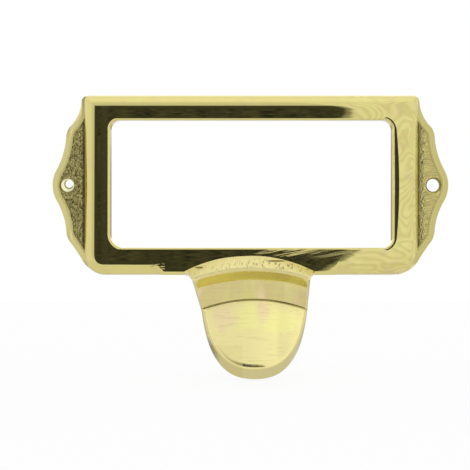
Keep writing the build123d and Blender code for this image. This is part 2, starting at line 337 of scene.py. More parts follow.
# %% Shared effect: casting pits
casting_pits, given, result = new_group(
    "casting_pits", {"Place": None, "Spacing": 1.0, "Pit Size": 0.3, "Share": 0.5}, ["Mask"]
)
pit_place = add_node(
    casting_pits, "VectorMath", {"operation": "DIVIDE"}, {0: given["Place"], 1: given["Spacing"]}
).outputs[0]
cells = add_node(casting_pits, "TexVoronoi", None, {"Vector": pit_place, "Scale": 1.0})
cell_tone = add_node(casting_pits, "SeparateColor", None, {0: cells.outputs["Color"]}).outputs[0]
chosen = calc(casting_pits, "LESS_THAN", cell_tone, given["Share"])
inside = add_node(
    casting_pits, "MapRange", {"interpolation_type": "SMOOTHSTEP"},
    {
        "Value": cells.outputs["Distance"], "From Min": 0.0, "From Max": given["Pit Size"],
        "To Min": 1.0, "To Max": 0.0,
    },
).outputs["Result"]
casting_pits.links.new(calc(casting_pits, "MULTIPLY", chosen, inside), result["Mask"])
print("group", casting_pits.name, "sockets", [s.name for s in casting_pits.interface.items_tree])

# %% [markdown]
# The casting's own finish is one material, because it is one piece of metal, and masks say where each
# treatment lies. They come from the place on the object in millimetres, so they stay put from every side.
# A few also ask how a surface leans: the Y of its normal is -1 where it faces the user and 1 where it
# faces the drawer. First come the frame with its right half, the lip at the left of the window, the edges
# over the ears, the ears with their flat border, and the unbuffed back.

# %% Polished brass: masks of the frame and the ears
brass = bpy.data.materials.new("polished_brass")
brass.use_nodes = True
tree = brass.node_tree
shader = tree.nodes["Principled BSDF"]
place, x, y, z = in_millimetres(tree)
side_x = calc(tree, "ABSOLUTE", x)
normal = add_node(tree, "TexCoord").outputs["Normal"]
leaning = add_node(tree, "SeparateXYZ", None, {0: normal}).outputs["Y"]

on_frame = fade(tree, z, -19.2, -18.4)
right_half = both(
    tree, on_frame, band(tree, x, (17.0, 22.0), (34.4, 34.8)), fade(tree, leaning, -0.1, -0.4)
)
left_lip = both(tree, on_frame, band(tree, x, (-31.2, -30.6), (-29.4, -29.2)))
frame_edge = both(
    tree, on_frame, fade(tree, side_x, FRAME_SIDE - 0.75, FRAME_SIDE - 0.45), fade(tree, y, -1.9, -2.1)
)
on_ears = both(tree, fade(tree, side_x, FRAME_SIDE - 0.6, FRAME_SIDE - 0.3), fade(tree, y, -1.95, -1.85))
ear_land = both(tree, on_ears, fade(tree, y, EAR_LAND_Y + 0.06, EAR_LAND_Y + 0.02))
back = calc(tree, "MAXIMUM", fade(tree, y, -0.5, -0.2), fade(tree, leaning, 0.15, 0.4))
print("masks made for", brass.name)

# %% [markdown]
# The neck is turned, so its parts are arcs round one axis and their masks ask only how far a point is from
# it. From the frame downwards come the hollow sweep, the sharp crest, the gold strip, the plain band and
# the crease, and inside the crease lies the tongue. On the tongue the wall round it, the shade low on the
# left of that wall, and the left of the rim have masks of their own.

# %% Polished brass: masks of the neck and the tongue
from_axis_x = calc(tree, "SUBTRACT", x, TURNING_AXIS[0])
from_axis_z = calc(tree, "SUBTRACT", z, TURNING_AXIS[1])
radius = calc(
    tree, "SQRT",
    calc(tree, "ADD", calc(tree, "POWER", from_axis_x, 2.0), calc(tree, "POWER", from_axis_z, 2.0)),
)
across_neck = band(tree, x, (-15.0, -14.0), (14.5, 15.5))
under_crest = (CREST_RADIUS - 0.5, CREST_RADIUS - 0.3)
below_crest = both(tree, across_neck, fade(tree, radius, *under_crest, 1.0, 0.0))
sweep = both(tree, across_neck, fade(tree, radius, *under_crest), fade(tree, y, -5.1, -5.0, 1.0, 0.0))
crest = both(
    tree, across_neck,
    band(tree, radius, (CREST_RADIUS - 0.75, CREST_RADIUS - 0.55), (CREST_RADIUS + 0.1, CREST_RADIUS + 0.3)),
)
strip_end_reflection = both(
    tree, below_crest, fade(tree, radius, STRIP_RADIUS - 0.1, STRIP_RADIUS + 0.1),
    fade(tree, calc(tree, "ABSOLUTE", from_axis_x), 12.6, 13.2),
)
plain_band = both(
    tree, below_crest,
    band(tree, radius, (CREASE_RADIUS, CREASE_RADIUS + 0.3), (STRIP_RADIUS - 0.2, STRIP_RADIUS + 0.2)),
)
crease_foot, crease_top = CREASE_RADIUS - 0.3, CREASE_RADIUS + 0.2
crease = both(
    tree, across_neck, band(tree, radius, (crease_foot, crease_foot + 0.15), (crease_top - 0.15, crease_top))
)
tongue = both(tree, below_crest, fade(tree, radius, crease_foot, CREASE_RADIUS + 0.1, 1.0, 0.0))
tongue_wall = both(tree, tongue, fade(tree, leaning, -0.84, -0.72))
wall_shadow = both(
    tree, tongue, fade(tree, leaning, -0.32, -0.2), fade(tree, x, -3.5, -6.0), fade(tree, z, -31.0, -32.5)
)
rim_left = both(tree, tongue, fade(tree, z, -32.4, -33.2), fade(tree, x, -1.0, -2.0))
print("crest, strip and crease in millimetres from the axis:", CREST_RADIUS, STRIP_RADIUS, CREASE_RADIUS)

# %% [markdown]
# At the window's right side the buffing wheel has dragged the edge of the face over a little, so a thin
# dark lens shows there. The roll starts a millimetre and a half from the window at the middle of that side
# and leans more and more, to seventeen degrees where the face meets the window's broken edge. It is put in
# as the height of a bump, worked out from the distance to the window's outline, because it is only a sixth
# of a millimetre deep.

# %% Polished brass: the rolled edge beside the window


def distance_outside_window(tree, x, z):
    """Millimetres from the window's rounded outline, measured across the face."""
    reach = []
    for value, middle, half in zip((x, z), WINDOW_MIDDLE, WINDOW_HALF):
        offset = calc(tree, "ABSOLUTE", calc(tree, "SUBTRACT", value, middle))
        reach.append(calc(tree, "MAXIMUM", calc(tree, "SUBTRACT", offset, half - WINDOW_CORNER), 0.0))
    squares = [calc(tree, "POWER", value, 2.0) for value in reach]
    length = calc(tree, "SQRT", calc(tree, "ADD", *squares))
    return calc(tree, "SUBTRACT", length, WINDOW_CORNER)


ROLL_LEAN = math.radians(17)
ROLL_WIDTH_ENDS, ROLL_WIDTH_MIDDLE = 0.85, 1.5
ROLL_HALF_HEIGHT = 12.6
ROLL_START = (26.0, 28.5)
BROKEN_EDGE = 0.5

to_window = distance_outside_window(tree, x, z)
up_share = calc(tree, "DIVIDE", z, ROLL_HALF_HEIGHT)
middle_share = calc(tree, "SUBTRACT", 1.0, calc(tree, "POWER", up_share, 2.0))
roll_width = calc(
    tree, "ADD",
    calc(tree, "MULTIPLY", calc(tree, "MAXIMUM", middle_share, 0.0), ROLL_WIDTH_MIDDLE - ROLL_WIDTH_ENDS),
    ROLL_WIDTH_ENDS,
)
roll_reach = calc(tree, "SUBTRACT", roll_width, to_window)
roll_depth = calc(
    tree, "MULTIPLY",
    calc(tree, "POWER", calc(tree, "MAXIMUM", roll_reach, 0.0), 2.0),
    -math.tan(ROLL_LEAN) / (2 * (ROLL_WIDTH_MIDDLE - BROKEN_EDGE)),
)
roll_depth = both(tree, roll_depth, fade(tree, x, *ROLL_START))
print("rolled edge leans", round(math.degrees(ROLL_LEAN), 1), "degrees")

# %% [markdown]
# A hand-buffed face is not quite flat. Ripples a few thousandths of a millimetre high, long in the
# direction of the wheel, fray the border between the dark and the bright reflection. They are noise
# stretched along X. On the right half, where the face mirrors only white, the same ripples show as faint
# growth rings like those of a plank. They are painted into the colour as darker and lighter reflections:
# the contour lines of one broad noise, drawn by a sine of its value.

# %% Polished brass: ripples and rings
RIPPLE_HEIGHT = 0.007
RING_COUNT = 21

ripples = add_node(
    tree, "TexNoise", None,
    {"Vector": stretched(tree, place, (0.13, 0.5, 1.0)), "Scale": 1.0, "Detail": 1.5, "Roughness": 0.5},
).outputs[0]
ripple_height = calc(tree, "MULTIPLY", ripples, RIPPLE_HEIGHT)
swells = add_node(
    tree, "TexNoise", None,
    {"Vector": stretched(tree, place, (0.085, 0.3, 0.13)), "Scale": 1.0, "Detail": 1.5, "Roughness": 0.35},
).outputs[0]
rings = calc(tree, "SINE", calc(tree, "MULTIPLY", swells, RING_COUNT * math.tau))
# The ring lines and ring lights are painted darker and lighter reflections of the ripples.
ring_shade_lines = both(tree, fade(tree, rings, 0.1, 1.0), right_half)
ring_lights = both(tree, fade(tree, rings, -0.1, -1.0), right_half)
print("ripples in millimetres:", RIPPLE_HEIGHT, "ring contours:", RING_COUNT)

# %% [markdown]
# Above the sweep of the neck the wheel was turned and bit harder: flame-like streaks rise to the right
# there, steep enough to mirror the white of the tent from within the dark. To their right the streaks no
# longer bend the mirror and only dull it. The lower shoulder has shorter ones, which fray the left end of
# its bright reflection where the buffed edge turns squarer. All are noise stretched along the direction of
# the stroke, and masks keep them to their places. The right half of the lower bar is also twisted by about
# a degree, so that the border of its reflection runs aslant.

# %% Polished brass: flame streaks
FLAME_TURN = math.radians(10)
FLAME_SIZE, FLAME_HEIGHT = (10.0, 0.42), 0.075
DULL_SIZE = (9.0, 0.34)
FRAY_SIZE, FRAY_HEIGHT = (3.0, 0.5), 0.055
TWIST_MIDDLE = (20.0, -14.5)
TWIST_RATE = 0.0023


def streaks_along(tree, place, turn, size):
    """A mask of buffing streaks that run at an angle; size is their length and width."""
    turned = add_node(
        tree, "VectorRotate", {"rotation_type": "Y_AXIS"}, {"Vector": place, "Angle": turn}
    ).outputs[0]
    streaks = add_node(
        tree, "TexNoise", None,
        {"Vector": stretched(tree, turned, (1 / size[0], 0.3, 1 / size[1])), "Scale": 1.0, "Detail": 2.0},
    ).outputs[0]
    return fade(tree, streaks, 0.42, 0.62)


bar_top = (-13.6, -13.2)
flame_zone = both(tree, band(tree, x, (-1.0, 6.0), (9.0, 15.0)), band(tree, z, (-15.1, -14.3), bar_top))
flames = both(tree, streaks_along(tree, place, FLAME_TURN, FLAME_SIZE), flame_zone, FLAME_HEIGHT)
dull_zone = both(tree, band(tree, x, (7.0, 13.0), (19.0, 23.0)), band(tree, z, (-16.2, -14.2), bar_top))
dull_streaks = both(tree, streaks_along(tree, place, FLAME_TURN, DULL_SIZE), dull_zone)
fray_zone = both(tree, band(tree, x, (-22.0, -20.0), (-18.6, -17.4)), fade(tree, z, -15.9, -16.5))
frays = both(tree, streaks_along(tree, place, 0.0, FRAY_SIZE), fray_zone, FRAY_HEIGHT)
lower_bar = both(tree, fade(tree, z, -12.6, -13.4), band(tree, x, (5.0, 10.0), (26.0, 32.0)))
twist = both(
    tree, calc(tree, "SUBTRACT", x, TWIST_MIDDLE[0]), calc(tree, "SUBTRACT", z, TWIST_MIDDLE[1]),
    lower_bar, TWIST_RATE,
)
streak_relief = calc(tree, "ADD", calc(tree, "ADD", flames, frays), twist)
print("flames turned by", round(math.degrees(FLAME_TURN)), "degrees")

# %% [markdown]
# Colour comes next, part by part. The plain yellow brass is laid first, then the pink and green drift,
# which is strongest on the right half, and the growth rings there as painted reflections in a darker and a
# creamier brass.

# %% Polished brass: the alloy, its drift and its rings
BRASS = (0.735, 0.652, 0.252, 1)
PINK_BRASS = (0.70, 0.575, 0.275, 1)
GREEN_BRASS = (0.76, 0.72, 0.27, 1)
RING_BRASS = (0.62, 0.54, 0.20, 1)
CREAM_BRASS = (0.86, 0.76, 0.36, 1)

drift = use_group(tree, colour_drift, {"Place": place, "Cloud Size": 3.0})
drift_strength = calc(tree, "ADD", calc(tree, "MULTIPLY", right_half, 0.6), 0.35)
colour = blend_colour(tree, both(tree, drift["Pink"], drift_strength), BRASS, PINK_BRASS)
colour = blend_colour(tree, both(tree, drift["Green"], drift_strength), colour, GREEN_BRASS)
# The growth rings: painted darker and lighter reflections.
colour = blend_colour(tree, both(tree, ring_shade_lines, 0.5), colour, RING_BRASS)
colour = blend_colour(tree, both(tree, ring_lights, 0.35), colour, CREAM_BRASS)
print("base colours laid on", brass.name)

# %% [markdown]
# The tongue was brushed across and is more lemon than the rest; that brighter brass is partly painted
# light, because the tongue faces up into the bright top of the tent. Bright lemon and rose spots lie on it,
# and the lemon ones are painted highlights. Each is an ellipse, given by its middle and its half sizes in
# X and Z, and noise frays its outline. The wall round the tongue, turned away from that light, is plainer,
# low on its left it lies in painted shade, and the crease has stayed dull, its darker brass a painted dark
# reflection.

# %% Polished brass: colours of the tongue
LEMON_BRASS = (0.97, 0.87, 0.40, 1)
LEMON_HIGHLIGHT = (1.0, 0.96, 0.37, 1)
ROSE_BRASS = (0.96, 0.75, 0.46, 1)
WALL_BRASS = (0.74, 0.65, 0.28, 1)
SHADOW_BRASS = (0.34, 0.29, 0.11, 1)
# The crease's darker brass is a painted dark reflection along the crease.
CREASE_REFLECTION_BRASS = (0.56, 0.46, 0.14, 1)
LEMON_HIGHLIGHT_SPOTS = ((-0.6, -27.4, 2.4, 3.6), (6.2, -28.3, 5.4, 2.8))
ROSE_SPOTS = ((-5.8, -27.6, 2.6, 3.8), (2.7, -26.2, 1.5, 2.6))
SPOT_FRAY = 2.4


def ellipse_reach(tree, x, z, centre_x, centre_z, half_x, half_z):
    """A value that is 0 in the middle of an ellipse, 1 on its outline, and grows outside it."""
    squares = [
        calc(tree, "POWER", calc(tree, "DIVIDE", calc(tree, "SUBTRACT", value, centre), half), 2.0)
        for value, centre, half in ((x, centre_x, half_x), (z, centre_z, half_z))
    ]
    return calc(tree, "ADD", *squares)


tongue_marks = use_group(
    tree, brush_marks, {"Place": place, "Stroke Length": 5.0, "Stroke Width": 0.35}
)["Mask"]
# The lemon brass is partly painted light from the bright top of the tent that the tongue faces.
colour = blend_colour(tree, tongue, colour, LEMON_BRASS)
patches = add_node(
    tree, "TexNoise", None, {"Vector": stretched(tree, place, (0.8, 0.5, 0.5)), "Scale": 1.0, "Detail": 3.0}
).outputs[0]
fray = calc(tree, "MULTIPLY", patches, SPOT_FRAY)
in_strokes = fade(tree, tongue_marks, 0.0, 1.0, 0.65, 1.0)
# The lemon spots are painted highlights.
for tint, spots, strength in ((LEMON_HIGHLIGHT, LEMON_HIGHLIGHT_SPOTS, 0.9), (ROSE_BRASS, ROSE_SPOTS, 0.75)):
    for spot in spots:
        reach = calc(tree, "ADD", ellipse_reach(tree, x, z, *spot), fray)
        inside = both(tree, tongue, fade(tree, reach, 2.3, 1.3, 0.0, strength), in_strokes)
        colour = blend_colour(tree, inside, colour, tint)
dark_strokes = both(tree, tongue, fade(tree, tongue_marks, 0.75, 1.0), 0.25)
colour = blend_colour(tree, dark_strokes, colour, PINK_BRASS)
# The wall keeps a plainer brass outside the painted light, and the wall shadow is painted shade.
for mask, tint in ((tongue_wall, WALL_BRASS), (wall_shadow, SHADOW_BRASS), (crease, CREASE_REFLECTION_BRASS)):
    colour = blend_colour(tree, mask, colour, tint)
print("tongue spots:", len(LEMON_HIGHLIGHT_SPOTS) + len(ROSE_SPOTS))

# %% [markdown]
# Above the tongue lie the plain band, brushed across and clouded with rose and green, the gold strip with
# its deeper ends, the cream sweep with its short dark grains, and the bright crest. The deeper gold at the
# strip's ends is a painted darker reflection, the cream of the upturned sweep is partly painted light, and
# the crest's bright brass is a painted highlight. Three dark marks are narrow ellipses: two are folds in the
# sweep, and the third is a painted dark reflection that lengthens the dark arc in the tongue's rim.

# %% Polished brass: colours of the neck
BAND_BRASS = (0.75, 0.63, 0.33, 1)
STRIP_END_REFLECTION_GOLD = (0.60, 0.51, 0.14, 1)
SWEEP_BRASS = (0.92, 0.83, 0.40, 1)
CREST_HIGHLIGHT_BRASS = (0.97, 0.88, 0.46, 1)
PIT_AND_MARK_BROWN = (0.20, 0.15, 0.04, 1)
# The third dark mark paints a dark reflection in the tongue's rim.
DARK_MARKS = ((5.2, -15.75, 2.3), (-10.6, -17.1, 1.0), (1.7, -37.06, 1.4))
MARK_HALF_WIDTH = 0.22

band_drift = use_group(
    tree, colour_drift, {"Place": stretched(tree, place, (1.0, 0.3, 0.3)), "Cloud Size": 3.4}
)
for mask, tint in (
    (fade(tree, tongue_marks, 0.0, 1.0, 0.28, 0.8), BAND_BRASS),
    (fade(tree, tongue_marks, 0.6, 0.9, 0.0, 0.3), RING_BRASS),
    (both(tree, band_drift["Pink"], 0.7), ROSE_BRASS), (both(tree, band_drift["Green"], 0.7), GREEN_BRASS),
):
    colour = blend_colour(tree, both(tree, plain_band, mask), colour, tint)
# The strip's ends get a painted darker reflection.
colour = blend_colour(tree, strip_end_reflection, colour, STRIP_END_REFLECTION_GOLD)

grains = use_group(
    tree, casting_pits,
    {"Place": stretched(tree, place, (1.3, 0.4, 0.4)), "Spacing": 0.42, "Pit Size": 0.62, "Share": 0.62},
)["Mask"]
grains = both(
    tree, grains, sweep, fade(tree, radius, CREST_RADIUS + 2.2, CREST_RADIUS + 1.4),
    fade(tree, x, -6.0, 4.0, 0.4, 1.0),
)
# The cream of the sweep is partly painted light from above.
colour = blend_colour(tree, sweep, colour, SWEEP_BRASS)
colour = blend_colour(tree, grains, colour, PIT_AND_MARK_BROWN)
in_front = fade(tree, y, -4.0, -4.5)
for centre_x, centre_z, half_length in DARK_MARKS:
    reach = ellipse_reach(tree, x, z, centre_x, centre_z, half_length, MARK_HALF_WIDTH)
    mark = both(tree, fade(tree, reach, 0.4, 1.1, 0.85, 0.0), in_front)
    colour = blend_colour(tree, mark, colour, PIT_AND_MARK_BROWN)
# The crest's bright brass is a painted highlight.
colour = blend_colour(tree, crest, colour, CREST_HIGHLIGHT_BRASS)
print("dark marks:", len(DARK_MARKS))

# %% [markdown]
# The ears come last. The left one shines brighter than the right one, and the flat border of the right one
# is brighter than its bevel. The screw holes and their countersinks are darker, and the back keeps the
# brown of the casting.

# %% Polished brass: colours of the ears, the holes and the back
LEFT_EAR_BRASS, LEFT_LAND_BRASS = (0.95, 0.85, 0.38, 1), (0.95, 0.86, 0.38, 1)
RIGHT_EAR_BRASS, RIGHT_LAND_BRASS = (0.64, 0.57, 0.225, 1), (0.78, 0.69, 0.29, 1)
DRILLED_BRASS = (0.44, 0.38, 0.15, 1)
CAST_BRASS = (0.42, 0.36, 0.15, 1)

at_left = fade(tree, x, 1.0, -1.0)
colour = blend_colour(tree, on_ears, colour, blend_colour(tree, at_left, RIGHT_EAR_BRASS, LEFT_EAR_BRASS))
colour = blend_colour(tree, ear_land, colour, blend_colour(tree, at_left, RIGHT_LAND_BRASS, LEFT_LAND_BRASS))
flat_place = add_node(tree, "CombineXYZ", None, {"X": x, "Z": z}).outputs[0]
for middle_x, middle_z in COUNTERSINK_MIDDLE.values():
    distance = add_node(
        tree, "VectorMath", {"operation": "DISTANCE"}, {0: flat_place, 1: (middle_x, 0.0, middle_z)}
    ).outputs["Value"]
    drilled = fade(tree, distance, COUNTERSINK_RADIUS, COUNTERSINK_RADIUS + 0.06, 1.0, 0.0)
    colour = blend_colour(tree, drilled, colour, DRILLED_BRASS)
colour = blend_colour(tree, back, colour, CAST_BRASS)
tree.links.new(colour, shader.inputs["Base Color"])
print("all colours laid on", brass.name)

# %% [markdown]
# Roughness follows the tool that touched the metal last: a mirror on the frame, a soft sheen on the
# brushed tongue, a duller skin in the sweep, on the crest and on the ears, and a matt cast surface on the
# back. Where masks overlap, the roughest wins. The heights of the ripples, the rolled edge, the streaks,
# the brush marks and the grains then join in one bump.

# %% Polished brass: roughness and relief
MIRROR_ROUGHNESS = 0.02
STREAK_ROUGHNESS = 0.13
FRAME_EDGE_ROUGHNESS = 0.4
LAND_ROUGHNESS = 0.55
CREASE_ROUGHNESS = 0.4
RIM_ROUGHNESS = 0.45
LIP_ROUGHNESS = 0.13
BRUSHED_ROUGHNESS = 0.24
BAND_ROUGHNESS = 0.16
SWEEP_ROUGHNESS = 0.45
CREST_ROUGHNESS = 0.6
EAR_ROUGHNESS = 0.42
CAST_ROUGHNESS = 0.55
BRUSH_HEIGHT, SWEEP_GRAIN_DEPTH = 0.01, 0.03

roughness = MIRROR_ROUGHNESS
for mask, value in (
    (tongue, BRUSHED_ROUGHNESS), (plain_band, BAND_ROUGHNESS), (sweep, SWEEP_ROUGHNESS),
    (crest, CREST_ROUGHNESS), (on_ears, EAR_ROUGHNESS), (back, CAST_ROUGHNESS),
    (dull_streaks, STREAK_ROUGHNESS), (left_lip, LIP_ROUGHNESS), (ear_land, LAND_ROUGHNESS),
    (frame_edge, FRAME_EDGE_ROUGHNESS), (crease, CREASE_ROUGHNESS), (rim_left, RIM_ROUGHNESS),
):
    roughness = calc(tree, "MAXIMUM", roughness, calc(tree, "MULTIPLY", mask, value))
tree.links.new(roughness, shader.inputs["Roughness"])
shader.inputs["Metallic"].default_value = 1

relief = both(tree, ripple_height, on_frame)
for height in (
    roll_depth, streak_relief, both(tree, tongue, tongue_marks, drift["Green"], BRUSH_HEIGHT),
    both(tree, grains, -SWEEP_GRAIN_DEPTH),
):
    relief = calc(tree, "ADD", relief, height)
bump = add_node(tree, "Bump", None, {"Strength": 1.0, "Distance": MM, "Height": relief})
tree.links.new(bump.outputs[0], shader.inputs["Normal"])
casting.data.materials.clear()
casting.data.materials.append(brass)
print(brass.name, "nodes:", len(tree.nodes))

# %% [markdown]
# The sunken grounds of the ears are the part of the casting that no wheel reached. At the left they keep
# the stipple of the sand; at the right someone has raked them smooth with a file, except close to the
# frame. This is real relief, so it is modelled: each ground gets a thin closed sheet of small squares that
# lies in the recess, a hair above the casting's own floor, and runs in under the border. Rays that feel
# the casting from the front find where the ground is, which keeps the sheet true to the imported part. The
# bevel round each ear passes the height of the ground too, so a ray also asks that the spot lies flat.

# %% Ear grounds: feel where the casting is sunken
SHEET_STEP = 0.085
SHEET_LIFT = 0.005
SHEET_SINK = 0.06
RAY_START_Y = -20.0
GROUND_TOLERANCE, FLAT_NORMAL_Y = 0.03, -0.99
SEARCH_X, SEARCH_Z = (FRAME_SIDE - 0.2, 40.2), (-18.8, 18.8)

casting_tree = BVHTree.FromPolygons(
    [v.co.copy() for v in casting.data.vertices], [tuple(p.vertices) for p in casting.data.polygons]
)


def is_sunken_ground(x, z):
    """True where the casting's front surface is the flat floor of an ear's recess, not its bevel."""
    start = Vector((x * MM, RAY_START_Y * MM, z * MM))
    hit, normal = casting_tree.ray_cast(start, Vector((0, 1, 0)))[:2]
    if hit is None:
        return False
    return abs(hit.y / MM - EAR_GROUND_Y) < GROUND_TOLERANCE and normal.y < FLAT_NORMAL_Y


def sunken_points(side):
    """The grid points of one ear's recess, as a set of column and row numbers."""
    columns, rows = (
        range(int(start / SHEET_STEP), int(end / SHEET_STEP)) for start, end in (SEARCH_X, SEARCH_Z)
    )
    return {
        (column, row) for column in columns for row in rows
        if is_sunken_ground(side * column * SHEET_STEP, row * SHEET_STEP)
    }


ear_points = {"left": sunken_points(-1), "right": sunken_points(1)}
print("sunken grid points:", {name: len(points) for name, points in ear_points.items()})

# %% [markdown]
# The stipple is a heap of rounded grains: a Voronoi pattern gives the distances to its two nearest points,
# and their difference makes domes with crevices between them, which fractal noise breaks up. The rake lines
# are noise that hardly changes along X, and one pinhole goes down to the floor. Each relief gives a height
# in millimetres above the recess's floor, and a tone for the material that is low in the crevices. The
# vector noise that bends the stipple starts from the clock unless it gets a seed, so it gets one here.

# %% Ear grounds: the relief of each side
GRAIN_SIZE = 0.46
GRAIN_HEIGHT = 0.13
RAKE_HEIGHT = 0.035
PIT_PLACE, PIT_RADIUS = (35.72, 4.75), 0.34
NOISE_SEED = 5

noise.seed_set(NOISE_SEED)


def soft(value, start, end):
    """A ramp from 0 to 1 while the value goes from start to end, eased at both ends."""
    share = min(max((value - start) / (end - start), 0.0), 1.0)
    return share * share * (3 - 2 * share)


def stipple(x, z):
    """Rounded grains, from 0 in a crevice to 1 on top."""
    spot = Vector((x / GRAIN_SIZE, 0.0, z / (1.3 * GRAIN_SIZE)))
    spot += 0.6 * noise.noise_vector(spot * 0.7)
    nearest = noise.voronoi(spot)[0]
    dome = min(1.6 * (nearest[1] - nearest[0]), 1.0)
    return min(max(0.75 * dome + 0.22 + 0.6 * noise.fractal(spot * 1.3, 0.6, 2.0, 3), 0.0), 1.0)


def left_relief(x, z):
    """Sand stipple all over, flatter in the strip along the frame: its height and its tone."""
    grain = stipple(x, z)
    return GRAIN_HEIGHT * grain * (0.35 + 0.65 * soft(abs(x), FRAME_SIDE + 0.4, FRAME_SIDE + 1.2)), grain


def right_relief(x, z):
    """Rake lines across the ground, stipple near the frame, and one pinhole: height and tone."""
    rake = 0.5 + 0.5 * noise.fractal(Vector((x / 2.5, 0.0, z / 0.16)), 0.7, 2.0, 2)
    uneven_x = x + 0.5 * noise.noise(Vector((0.0, 0.0, z / 0.6)))
    near_frame = 1 - soft(uneven_x, FRAME_SIDE + 1.2, FRAME_SIDE + 1.9)
    grain = 0.5 + (stipple(x, z) - 0.5) * soft(x, FRAME_SIDE + 0.4, FRAME_SIDE + 0.9)
    pit = 1 - soft(math.dist((x, z), PIT_PLACE), 0.5 * PIT_RADIUS, PIT_RADIUS)
    height = RAKE_HEIGHT * rake + near_frame * GRAIN_HEIGHT * 0.55 * (grain - 0.3)
    tone = (1 - near_frame) * (0.85 + 0.75 * rake) + near_frame * (0.35 + 0.75 * grain)
    return max(height + 0.04, 0.0) * (1 - pit), tone * (1 - pit)


reliefs = {"left": left_relief, "right": right_relief}
print("grain height in millimetres:", GRAIN_HEIGHT, "rake height:", RAKE_HEIGHT)

# %% [markdown]
# The sheet is laid over those points. A square is kept where at least one corner lies on the ground, so
# the sheet's rim hides inside the border and the frame. Round the countersink the rim would show, so
# corners that fall inside it are moved out onto its circle. A second layer below and a wall round the rim
# close the sheet, and the tone of each point is kept as an attribute that the material reads.

# %% Ear grounds: build the sheets


def on_countersink_rim(x, z, side):
    """Moves a point that lies over the countersink out onto its circle."""
    centre_x, centre_z = COUNTERSINK_MIDDLE[side]
    distance = math.dist((x, z), (centre_x, centre_z))
    if distance >= COUNTERSINK_RADIUS:
        return x, z, 1.0
    scale = COUNTERSINK_RADIUS / max(distance, 0.01)
    return centre_x + (x - centre_x) * scale, centre_z + (z - centre_z) * scale, 0.0


def add_to_casting(shape, name):
    """Turns a finished shape into a smooth piece that rides on the casting."""
    bmesh.ops.recalc_face_normals(shape, faces=shape.faces)
    mesh = bpy.data.meshes.new(name)
    shape.to_mesh(mesh)
    shape.free()
    mesh.shade_smooth()
    piece = bpy.data.objects.new(name, mesh)
    bpy.context.scene.collection.objects.link(piece)
    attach(piece, "root")
    return piece


def ear_ground(name, side):
    """A thin closed sheet with real relief that lies in the recess of one ear."""
    points, relief_at = ear_points[name], reliefs[name]
    shape = bmesh.new()
    tone = shape.verts.layers.float.new("relief")
    corners = {}

    def corner(column, row):
        if (column, row) not in corners:
            x, z, freedom = on_countersink_rim(side * column * SHEET_STEP, row * SHEET_STEP, side)
            height, shade = relief_at(x, z)
            y = EAR_GROUND_Y - SHEET_LIFT - height * freedom
            vertex = shape.verts.new((x * MM, y * MM, z * MM))
            vertex[tone] = shade
            corners[(column, row)] = vertex
        return corners[(column, row)]

    for column, row in sorted({(c - i, r - j) for c, r in points for i in (0, 1) for j in (0, 1)}):
        around = [(column, row), (column + 1, row), (column + 1, row + 1), (column, row + 1)]
        square = [corner(*spot) for spot in (around if side > 0 else around[::-1])]
        if len({tuple(vertex.co) for vertex in square}) == 4:
            shape.faces.new(square)
    top = list(shape.faces)
    under_y = (EAR_GROUND_Y + SHEET_SINK) * MM
    below = {vertex: shape.verts.new((vertex.co.x, under_y, vertex.co.z)) for vertex in list(shape.verts)}
    rim = [edge for edge in shape.edges if edge.is_boundary]
    for face in top:
        shape.faces.new([below[vertex] for vertex in reversed(face.verts)])
    for edge in rim:
        loop = edge.link_loops[0]
        start, end = loop.vert, loop.link_loop_next.vert
        shape.faces.new([start, below[start], below[end], end])
    loose = [vertex for vertex in shape.verts if not vertex.link_faces]
    bmesh.ops.delete(shape, geom=loose, context="VERTS")
    return add_to_casting(shape, f"ear_ground_{name}")


ear_grounds = [ear_ground("left", -1), ear_ground("right", 1)]
for piece in ear_grounds:
    print(piece.name, "triangles:", sum(len(p.vertices) - 2 for p in piece.data.polygons))

# %% [markdown]
# The grounds are the same brass without the polish, and dirt has stayed between the grains. Along the foot
# of the frame the ground is darker still, a painted shade where the frame's wall rises over it. The tone
# from the mesh darkens the crevices and brightens what was raked, and the drift, pits and brush marks of
# the shared groups keep it uneven.

# %% Material: rough ground of the ears
GROUND_HIGH = (0.62, 0.55, 0.222, 1)
GROUND_RAKED = (0.84, 0.72, 0.26, 1)
GROUND_LOW = (0.17, 0.145, 0.045, 1)
CREVICE_ROUGHNESS, GROUND_ROUGHNESS, RAKED_GLOSS = 0.5, 0.34, 0.12

ground = bpy.data.materials.new("rough_ear_ground")
ground.use_nodes = True
tree = ground.node_tree
shader = tree.nodes["Principled BSDF"]
place, x = in_millimetres(tree)[:2]
tone = add_node(tree, "Attribute", {"attribute_name": "relief"}).outputs["Fac"]
# Painted shade: along the foot of the frame the grain tops drop to the dark crevice colour.
frame_foot_shade = band(
    tree, x, (-FRAME_SIDE - 0.6, -FRAME_SIDE - 0.15), (FRAME_SIDE + 0.3, FRAME_SIDE + 1.1)
)
grain_tops = both(tree, fade(tree, tone, 0.0, 0.75), calc(tree, "SUBTRACT", 1.0, frame_foot_shade))
drift = use_group(tree, colour_drift, {"Place": place, "Cloud Size": 1.2})
pits = use_group(
    tree, casting_pits, {"Place": place, "Spacing": 0.5, "Pit Size": 0.35, "Share": 0.25}
)["Mask"]
strokes = use_group(
    tree, brush_marks, {"Place": place, "Stroke Length": 3.0, "Stroke Width": 0.12}
)["Mask"]
colour = blend_colour(tree, grain_tops, GROUND_LOW, GROUND_HIGH)
colour = blend_colour(tree, fade(tree, tone, 0.85, 1.5), colour, GROUND_RAKED)
colour = blend_colour(tree, both(tree, drift["Pink"], 0.3), colour, PINK_BRASS)
colour = blend_colour(tree, both(tree, pits, 0.5), colour, GROUND_LOW)
colour = blend_colour(tree, both(tree, strokes, fade(tree, x, 36.0, 37.0), 0.3), colour, BRASS)
tree.links.new(colour, shader.inputs["Base Color"])
